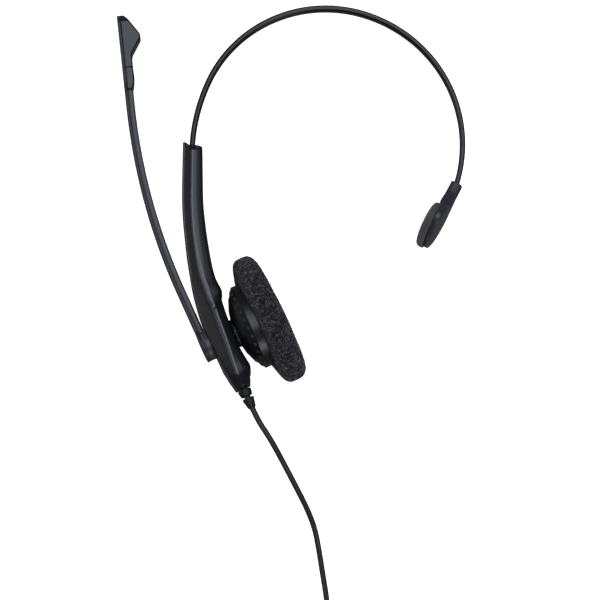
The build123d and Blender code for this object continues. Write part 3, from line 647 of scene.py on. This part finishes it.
def make_arm():
    """The outer shell, and the ear half in three parts with the cup's recess and the screws' holes."""
    shell = arm_stretch("arm_shell", "arm_outer_shell", -1, 0.0, ARM_LENGTH, foot_wall=FOOT_WALL)
    node, (first, second) = "arm_inner_cover", SPLITS
    upper = arm_stretch("cover_upper", node, 1, 0.0, first - SPLIT_GAP, slants=(0, SLANT))
    middle = arm_stretch("cover_middle", node, 1, first + SPLIT_GAP, second - SPLIT_GAP, FOOT_ROUND,
                         slants=(SLANT, 0))
    arm_stretch("cover_lower", node, 1, second + SPLIT_GAP, ARM_LENGTH, FOOT_ROUND, COVER_FOOT_WALL)
    carve(shell, [rod(HUB_SEAT_R, -9.0, HUB_SEAT_Z), rod(PIN_HOLE_R, -8.0, 0.0)], CUP)
    carve(middle, [rod(RECESS_R + 0.4, 3.3, RECESS_FLOOR + 0.2, 96)], CUP, "UNION")
    carve(middle, [rod(RECESS_R, RECESS_FLOOR, CLEAR, 96), rod(STUD_HOLE_R, 0.0, CLEAR, 32)], CUP)
    for s in SCREWS_AT:
        at, _, down = arm_frame(s)
        surface_at = eased(s, ARM_ROWS[:, 0], ARM_ROWS[:, 2])
        holes = [rod(SCREW_HEAD_R, surface_at - SCREW_HEAD_DEEP, CLEAR, 32), rod(SCREW_R, 0.0, CLEAR, 24)]
        carve(upper if s < first else middle, holes, frame_of(at, ACROSS, down))
    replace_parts(shell, "arm_outer_shell")
    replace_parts(upper, "arm_inner_cover")


make_arm()

# ---- headband ----
BAND_X, TAIL_END, BAND_THICK, BAND_WIDE = -12.0, 49.5, 2.3, 4.6
BAND_PATH = [(28.5, 0.0), (33.07, -77.5), (76.39, -53.9), (91.58, -58.3), (3.9, 0.0)]
BAND_LENGTH = sum(length for length, _ in BAND_PATH)
BAND_START, BAND_HEADING, BAND_END_EXTRA, CHANNEL = (BAND_X, TAIL_END), 90.0, 1.0, 0.22


def band_outline(s):
    """The band's section: soft edges and a shallow channel along its outer face."""
    edge = min(1.0, min(s, BAND_LENGTH + BAND_END_EXTRA + 0.1 - s) / 0.5)
    h, w = BAND_THICK / 2 * (0.75 + 0.25 * edge), BAND_WIDE / 2 * (0.9 + 0.1 * edge)
    corners = [
        (h, w * 0.46), (h - CHANNEL, w * 0.3), (h - CHANNEL, -w * 0.3), (h, -w * 0.46), (h, -w), (-h, -w),
        (-h, -w * 0.3), (-h, w * 0.3), (-h, w), (h, w),
    ]
    return rounded(corners, [0.15, 0.15, 0.15, 0.15, 1.14, 1.14, 1, 1, 1.14, 1.14], 6)


def make_band():
    """The band's plastic skin, which hides the spring strip."""
    stops = [0.0, 0.2, 0.5] + list(np.arange(1.2, BAND_LENGTH, 1.3))
    stops += [BAND_LENGTH + 0.6, BAND_LENGTH + BAND_END_EXTRA]
    shape = skin(swept(BAND_PATH, stops, band_outline, BAND_HEADING, BAND_START))
    band = make_piece("band", shape, "band_sheath", LAY, 35)
    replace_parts(band, "band_sheath", "band_core")


make_band()

# ---- temple rest ----
PAD_LEAN = radians(27.7)
CARRIER = frame_of(
    (*(along(BAND_PATH, BAND_LENGTH, BAND_HEADING)[0] + BAND_START), 0.0),
    (cos(PAD_LEAN), -sin(PAD_LEAN), 0), (sin(PAD_LEAN), cos(PAD_LEAN), 0),
)
SLEEVE_MID, SLEEVE_TOP, CARRIER_THICK, CARRIER_LENGTH = -0.3, 2.3, 5.0, 29.5
PAD_LENGTH, PAD_WIDE = 19.4, 40.0
PLATE_BACK = SLEEVE_MID + CARRIER_THICK / 2 - 3.4
PAD_MID = SLEEVE_TOP - CARRIER_LENGTH + PAD_LENGTH / 2
SLEEVE_HALF, RIDGE_IN = 3.9, 0.7
TEMPLE_PIN_R, TEMPLE_PIN_HALF = 0.6, 3.2
# the pad's share of its full outline, and how far it stands out there
PAD_PROFILE = [
    (0.985, 0.0), (0.998, 0.4), (1.0, 0.9), (1.0, 1.5), (0.992, 2.05), (0.972, 2.5), (0.935, 2.9),
    (0.875, 3.25), (0.79, 3.52), (0.68, 3.72), (0.54, 3.88), (0.38, 3.98), (0.2, 4.04), (0.04, 4.06),
]


def carrier_ring(y, middle, high):
    """The sleeve's or the plate's section at a height, with a low crown across the sleeve."""
    down, across = SLEEVE_TOP - y, min(1.0, abs(y - middle) / high)
    oval = PAD_WIDE / 2 * (1 - across**2) ** 0.5
    flare = 4.95 * hump(y, middle + high, 3.4) if y > middle + high * 0.55 else 0.0
    neck = SLEEVE_HALF + flare if y > middle else 0.0
    wide = max((oval**4 + neck**4) ** 0.25, 0.4)
    drop = softened(ramp(down, 11.0, 5.0))
    sleeve_back = SLEEVE_MID - CARRIER_THICK / 2
    back = between(sleeve_back, PLATE_BACK, drop)
    front = SLEEVE_MID + CARRIER_THICK / 2 - 1.15 * ramp(down, 12.0, 15.0)
    rim = 1.0 - 0.275 * (1 - ramp(down, 0, 0.6)) ** 2
    end = 1.0 if y > middle else max(0.2, (1 - across**4) ** 0.5)
    mid, half = (front + back) / 2, (front - back) / 2 * rim * end
    soft = min(1.5, wide * 0.45, half * 0.85)
    tall = wide * rim
    side_tall = max(0.2, tall - 0.05 - 0.6 * (1 - drop))
    ring = rounded(
        [(mid + half, side_tall), (mid - RIDGE_IN, tall), (mid - half, side_tall),
         (mid - half, -side_tall), (mid - RIDGE_IN, -tall), (mid + half, -side_tall)],
        [soft, 0.3, soft * 0.7, soft * 0.7, 0.3, soft], 5)
    return [(x, y, z) for x, z in ring]


def make_carrier():
    """The sleeve on the band's end flowing into the oval plate."""
    middle, high = PAD_MID - 0.2, PAD_LENGTH / 2 - 0.3
    stops = [SLEEVE_TOP - down for down in (0.0, 0.15, 0.5, 1.0)]
    stops += list(np.arange(SLEEVE_TOP - 2, middle + high + 0.2, -0.9))
    stops += [middle + high * cos(a) for a in np.linspace(0.14, pi - 0.02, 34)]
    shape = skin([carrier_ring(y, middle, high) for y in stops])
    carrier = make_piece("temple_frame", shape, "temple_carrier", CARRIER, 50)
    band_slot = prism([(-1.3, -1.5), (1.3, -1.5), (1.45, 3.3), (-2.0, 3.3)], -2.5, 2.5)
    carve(carrier, [band_slot], CARRIER, sharp=50)
    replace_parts(carrier, "temple_carrier")


def make_temple_pin():
    """The pin that the rest tilts on."""
    shape = rod(TEMPLE_PIN_R, -TEMPLE_PIN_HALF, TEMPLE_PIN_HALF, 24)
    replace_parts(make_piece("pivot_pin", shape, "temple_pin", CARRIER), "temple_pin")


def make_temple_pad():
    """The crowned oval pad, its edge tucked in against the plate."""
    middle, high, wide = PAD_MID - 1.1, PAD_LENGTH / 2 - 0.35, PAD_WIDE / 2
    shape = skin([[(PLATE_BACK - proud, middle + high * y, wide * z) for z, y, proud in ring]
                  for ring in turned(PAD_PROFILE, 120)])
    pad = make_piece("temple_cushion", shape, "temple_pad", CARRIER, 60)
    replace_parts(pad, "temple_pad")


make_carrier()
make_temple_pin()
make_temple_pad()

# ---- ear cup ----
FOAM_R, FOAM_BACK, FOAM_DEEP = 28.0, 16.0, 12.6
FOAM_STEP = 0.42
PORES_PER_MM, PORE_DEEP, LUMPS_PER_MM, LUMP_HIGH = 1.15, 0.34, 0.16, 0.28
# radius and height along the cushion: round the housing's rim, out to its edge and in over its soft face
FOAM_PROFILE = np.array([
    (18.35, 18.1), (18.3, 16.3), (19.6, 15.95), (22.4, 16.55), (25.0, 17.3), (26.9, 18.55), (27.85, 20.3),
    (28.0, 22.5), (27.75, 24.3), (26.85, 25.95), (25.2, 27.25), (22.8, 28.0), (18.6, 28.4), (13.0, 28.55),
    (7.0, 28.6), (0.6, 28.6),
])
VENTS, VENT_AT, VENT_R, VENT_WIRE_R = 27, (16.4, 0.0, 11.56), 0.66, 0.22
# on the housing's sloping back: straight out of it, and up it away from the neck
SLOPE_OUT, SLOPE_UP = (0.535, 0.0, -0.845), (0.845, 0.0, 0.535)
VENT_STEPS, WIRE_STEPS = 14, 8


def make_foam():
    """The open-cell foam cushion, with its pores pressed into the surface."""
    reach = np.concatenate(([0], np.cumsum(np.hypot(*np.diff(FOAM_PROFILE, axis=0).T))))
    stops = np.linspace(0, reach[-1], int(reach[-1] / FOAM_STEP))
    profile = np.array([eased(s, reach, FOAM_PROFILE) for s in stops])
    count = int(2 * pi * FOAM_R / FOAM_STEP)
    rings = np.array(turned(profile, count))
    slope = np.gradient(profile, axis=0)
    out = np.stack((slope[:, 1], -slope[:, 0]), 1)
    out /= np.linalg.norm(out, axis=1)[:, None]
    for i in range(3, len(profile)):
        for k in range(count):
            x, y, z = rings[i, k]
            cell = noise.voronoi(Vector((x, y, z)) * PORES_PER_MM, distance_metric="DISTANCE")[0]
            lumps = noise.noise(Vector((x, y, z)) * LUMPS_PER_MM)
            depth = PORE_DEEP * (cell[1] - cell[0]) - 0.16 + LUMP_HIGH * lumps
            a, height = 2 * pi * k / count, z - FOAM_BACK
            rings[i, k] += depth * np.array((out[i, 0] * cos(a), out[i, 0] * sin(a), out[i, 1]))
            rings[i, k, 2] -= 0.6 * max(0.0, -x / FOAM_R) * max(0.0, 1 - height / 8.0)
            rings[i, k, 2] += height / FOAM_DEEP * (0.027 * x - 0.35 + 0.034 * min(y, 0.0))
    foam = make_piece("ear_foam", skin(rings), "foam_cushion", CUP, 80)
    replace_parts(foam, "foam_cushion")


def make_vent_rims():
    """A small raised rim round each of the housing's vents, on its sloping back, in paler plastic than the
    housing as a painted glint.
    """
    out, up, points, faces = np.array(SLOPE_OUT), np.array(SLOPE_UP), [], []
    for turn in (2 * pi * number / VENTS for number in range(VENTS)):
        spin = np.array((*spun(turn), (0, 0, 1))).T
        rings = []
        for a in (2 * pi * k / VENT_STEPS for k in range(VENT_STEPS)):
            spoke = cos(a) * up + sin(a) * np.array((0.0, 1.0, 0.0))
            centre = VENT_AT + spoke * VENT_R
            rings.append([spin @ (centre + VENT_WIRE_R * (cos(b) * spoke + sin(b) * out))
                          for b in (2 * pi * j / WIRE_STEPS for j in range(WIRE_STEPS))])
        rim_points, rim_faces = skin(rings, looped=True)
        faces += [tuple(i + len(points) for i in f) for f in rim_faces]
        points += list(rim_points)
    # the paler carrier plastic paints a glint on each vent's rim
    make_piece("vent_rims", (points, faces), "cup_housing", CUP, 60, slot="carrier_plastic")


def make_neck_ring():
    """The matte rubber ring on the neck that faces the arm."""
    section = rounded([(5.0, 6.25), (6.06, 6.25), (6.06, 7.25), (5.0, 7.25)], [0.1, 0.4, 0.2, 0.1], 4)
    turns = [2 * pi * k / 64 for k in range(64)]
    shape = skin([[(r * cos(a), r * sin(a), z) for r, z in section] for a in turns], looped=True)
    make_piece("neck_ring", shape, "cup_housing", CUP, slot="boot_rubber")


make_foam()
make_vent_rims()
make_neck_ring()

# ---- boom ----
BOOM_THICK, BOOM_WIDE, BOOM_OUTER, BOOM_LENGTH = 3.3, 4.8, 1.2, 147.6
BOOM_PATH = [(25.0, 0.0), (82.3, 262.0), (40.3, 0.0)]
BOOM_LOW, BOOM_SPLIT, BOOM_HIGH = -BOOM_THICK / 2 - 0.15, -BOOM_THICK / 2 + BOOM_OUTER, BOOM_THICK / 2 + 0.25
HUB_R, HUB_BACK, BOSS_HOLE_R = 6.5, -4.3, 1.62
POD_START, POD_WIDE, POD_SEAM, TIP_SLANT, TIP_HOLLOW = 115.3, 8.4, 123.6, 3.7, 1.35
# the pod's own plane begins where the boom runs straight again
POD_FROM = BOOM_PATH[0][0] + BOOM_PATH[1][0]
POD_XY, POD_TURN = along(BOOM_PATH, POD_FROM, 0.0)
POD = frame_of((*POD_XY, 0.0), *spun(POD_TURN), BOOM)
MOUTH_SLOTS, MOUTH_SLOT_WIDE = (27.0, 29.2, 31.4), 0.7


def strip_half(s):
    """Half the outer strip's width: a round hub, the plain strip, then the pod's wider back."""
    round_part = max(0.0, HUB_R**2 - s * s) ** 0.5
    if s <= 0:
        return max(0.5, round_part)
    widening = softened(ramp(s, POD_START - 2.5, 5.0))
    return max(round_part, between(BOOM_WIDE, POD_WIDE, widening) / 2)


def tip_cut(z):
    """How far the pod's end face is cut back at a height across it."""
    share = (POD_WIDE / 2 - z) / POD_WIDE
    return TIP_SLANT * share - TIP_HOLLOW * np.sin(pi * np.clip(share, 0, 1))


def outer_outline(s):
    """The outer strip's section."""
    far = strip_half(s) * (0.88 + 0.12 * min(1.0, (BOOM_LENGTH - s) / 0.3))
    low, high, between = BOOM_LOW, BOOM_SPLIT + 0.01, [0.5 * far, 0.0, -0.5 * far]
    corners = [(high, far), (low, far)] + [(low, z) for z in between] + [(low, -far), (high, -far)]
    corners += [(high, z) for z in between[::-1]]
    return rounded(corners, [0.32, 0.5, 1, 1, 1, 0.5, 0.32, 1, 1, 1], 4)


def make_boom_outer():
    """The outer strip, from a round hub plate to the pod's slanted end."""
    stops = [HUB_R * -cos(a) for a in np.linspace(0.05, pi / 2, 16)] + list(np.linspace(0.6, HUB_R, 10))
    stops += list(np.arange(HUB_R + 1.2, BOOM_LENGTH - 0.5, 1.4)) + [BOOM_LENGTH - 0.15, BOOM_LENGTH]
    rings = swept(BOOM_PATH, stops, outer_outline)
    for s, ring in zip(stops, rings):
        near = max(0.0, (s - BOOM_LENGTH + 8.0) / 8.0)
        ring -= (tip_cut(ring[:, 2]) * near)[:, None] * spun(POD_TURN)[0]
    strip = make_piece("boom_outer", skin(rings), "boom_outer_strip", BOOM)
    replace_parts(strip, "boom_outer_strip")


def make_boom_inner():
    """The inner strip with a softened far edge, and the boss that carries the pivot."""
    wide, split = BOOM_WIDE / 2 - 0.05, BOOM_SPLIT - 0.01
    corners = [(BOOM_HIGH, wide), (split, wide), (split, -wide), (BOOM_HIGH, -wide)]
    section = rounded(corners, [1.0, 0.45, 0.45, 1.0], 5)
    stops = [0.0] + list(np.arange(1.0, POD_START + 1.0, 1.3)) + [POD_START + 1.5]
    shape = skin(swept(BOOM_PATH, stops, lambda _: section))
    strip = make_piece("boom_inner", shape, "boom_inner_strip", BOOM)
    low, high, r = BOOM_DEPTH + split, HUB_BACK, HUB_R - 0.1
    profile = [(r - 0.2, low), (r - 0.05, low + 0.2), (r, low + 0.4)]
    profile += [(r, high - 0.35), (r - 0.1, high - 0.12), (r - 0.35, high)]
    boss = make_piece("boom_boss", skin(turned(profile, 72)), "boom_inner_strip", CUP)
    carve(boss, [rod(BOSS_HOLE_R, low - 1, high + 1, 32)], CUP)
    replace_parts(strip, "boom_inner_strip")


def pod_rings(outline_at, radii, levels):
    """Rings across the pod: at each (height, inset), an outline of (along, towards the mouth) moved in."""
    rings = []
    for z, inset in levels:
        corners = moved_in([(s - POD_FROM, q) for s, q in outline_at(z)], inset)
        flat = rounded(corners, [max(0.06, r - inset) for r in radii], 8)
        rings.append([(x, y, z) for x, y in flat])
    return rings


def pod_piece(name, outline_at, radii):
    """A glossy body of the pod with softened edges."""
    edge = [(0.06, 1.0), (0.06, 0.8), (0.15, 0.45), (0.36, 0.15), (0.76, 0.0), (2.1, 0.0), (3.2, 0.0)]
    front = [(deep - POD_WIDE / 2, inset) for deep, inset in edge]
    levels = front + [(0.0, 0.0)] + [(-z, inset) for z, inset in front[::-1]]
    shape = skin(pod_rings(outline_at, radii, levels))
    return make_piece(name, shape, "mic_cover", POD, 30, slot="cover_plastic")


def pod_plates(name, outline_at, radii):
    """The matte plates let into a body's two flat sides."""
    edge = [(0.0, 1.1), (0.0, 0.95), (0.03, 0.88), (0.3, 0.85)]
    for side, word in ((-1, "front"), (1, "back")):
        levels = [(side * (POD_WIDE / 2 - deep), inset) for deep, inset in edge]
        rings = pod_rings(outline_at, radii, levels)
        make_piece(name + "_" + word, skin(rings if side < 0 else rings[::-1]), "mic_cover", POD, 30)


def wedge(z, grown=0.0):
    """The pod's outline from the seam over its peak to the slanted end."""
    end = BOOM_LENGTH - 0.03 - tip_cut(z) + grown * 0.6
    start, foot = POD_SEAM + 0.03 - grown, BOOM_SPLIT + 0.03 - grown
    tip = 0.75 + 0.651 * (BOOM_LENGTH - end)
    return [(start, foot), (start, 2.8), (129.3, 2.85), (136.8, 7.7), (end, tip), (end, foot)]


def heel(_, grown=0.0):
    """The outline of the short heel behind the seam, the same at every height."""
    start, end, foot = POD_START - 1.1 - grown * 0.9, POD_SEAM - 0.03 + grown, BOOM_SPLIT + 0.03 - grown
    return [(start, foot), (start, 1.9), (117.2, 2.6), (120.4, 2.95), (end, 2.8), (end, foot)]


def make_pod():
    """The microphone pod: its wedge with sound slots, its heel and their plates."""
    pod = pod_piece("mic_pod", wedge, [0.1, 0.15, 4.5, 2.3, 0.3, 0.1])
    pod_piece("pod_heel", heel, [0.1, 0.9, 2.2, 4.0, 0.15, 0.1])
    pod_plates("pod_plate", lambda z: wedge(z, 0.7), [0.2, 0.2, 5.0, 3.1, 0.9, 0.2])
    pod_plates("heel_plate", lambda z: heel(z, 0.7), [0.2, 1.0, 3.0, 5.0, 0.2, 0.2])
    slots = []
    for x in MOUTH_SLOTS:
        corners = [(x, 5.2), (x + MOUTH_SLOT_WIDE, 5.2), (x + MOUTH_SLOT_WIDE, 9.0), (x, 9.0)]
        slots.append(prism(corners, -2.0, 2.0))
    carve(pod, slots, POD, sharp=30)
    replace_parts(pod, "mic_cover")


make_boom_outer()
make_boom_inner()
make_pod()

# ---- strain relief and plug ----
BOOT = frame_of((0, 0, 0.45), (0, 0, -1), (0, 1, 0), CUP)
BOOT_BANDS = [(18.5, 20.9, 2.1, 2.1), (21.0, 22.35, 3.0, 3.0), (23.3, 26.0, 2.95, 2.5),
              (26.95, 31.2, 2.55, 1.75)]
PLUG_AT = frame_of(TAIL[-1], (0, 0, -1), spun(radians(162.84))[1], PART)
PLUG_BANDS = [(0.0, 1.9, 1.75, 1.85), (2.7, 4.5, 1.95, 2.1), (5.3, 7.1, 2.2, 2.35), (7.9, 9.7, 2.45, 2.55),
              (10.5, 12.02, 2.65, 2.7)]
GRIP_GROOVES, GRIP_R = (15.0, 17.0, 19.0, 21.0), 4.0


def turned_piece(name, profile, place, node):
    """A turned piece from (distance, radius) corners along the place's own Z, which replaces the node."""
    shape = skin(turned([(max(r, 0.01), z) for z, r in profile], 64))
    piece = make_piece(name, shape, node, place, 35)
    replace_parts(piece, node)
    return piece


def stepped(bands, core, end):
    """Corners of thick rings on a thin core: (start, end, first radius, last radius), softened."""
    profile, soft = [], 0.18
    for low, high, first, last in bands:
        profile += [(low, core if profile else 0.0), (low, first - soft)]
        profile += [(low + soft * 0.4, first - 0.05), (low + soft, first)]
        profile += [(high - soft, last), (high - soft * 0.4, last - 0.05), (high, last - soft), (high, core)]
    return profile + [end, (end[0], 0.0)]


def grip_profile():
    """The plug's handle: a rounded barrel with four grooves."""
    grip = [(12.0, 0.0), (12.0, 3.2), (12.3, 3.7), (12.9, 3.95), (14.0, GRIP_R)]
    for low in GRIP_GROOVES:
        grip += [(low, GRIP_R), (low + 0.25, GRIP_R - 0.3), (low + 0.75, GRIP_R - 0.3), (low + 1.0, GRIP_R)]
    return grip + [(24.0, GRIP_R), (28.6, 3.85), (29.5, 3.6), (29.9, 3.1), (30.0, 2.4), (30.0, 0.0)]


boot = turned_piece("cord_boot", stepped(BOOT_BANDS, 1.32, (31.75, 1.28)), BOOT, "strain_relief")
plug_grip = turned_piece("plug_grip", grip_profile(), PLUG_AT, "plug_body")
plug_tail = turned_piece("plug_tail", stepped(PLUG_BANDS, 1.5, (12.02, 1.5)), PLUG_AT, "plug_boot")

# ---- the CAD pieces that keep their shape ----
for obj in bpy.context.scene.objects:
    if "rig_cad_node" in obj and obj.type == "MESH":
        obj.data.materials.clear()
        obj.data.materials.append(MATERIALS[SLOTS[obj["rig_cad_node"]]])

PLUG = ["plug_boot", "plug_body", "plug_sleeve", "plug_ring_inner", "plug_ring_outer", "plug_insulators",
        "plug_tip"]
on_cord = [o for o in bpy.context.scene.objects
           if o.get("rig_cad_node") in PLUG + ["cord_tie"] and not o.hide_render]
on_cord += [boot, plug_grip, plug_tail]
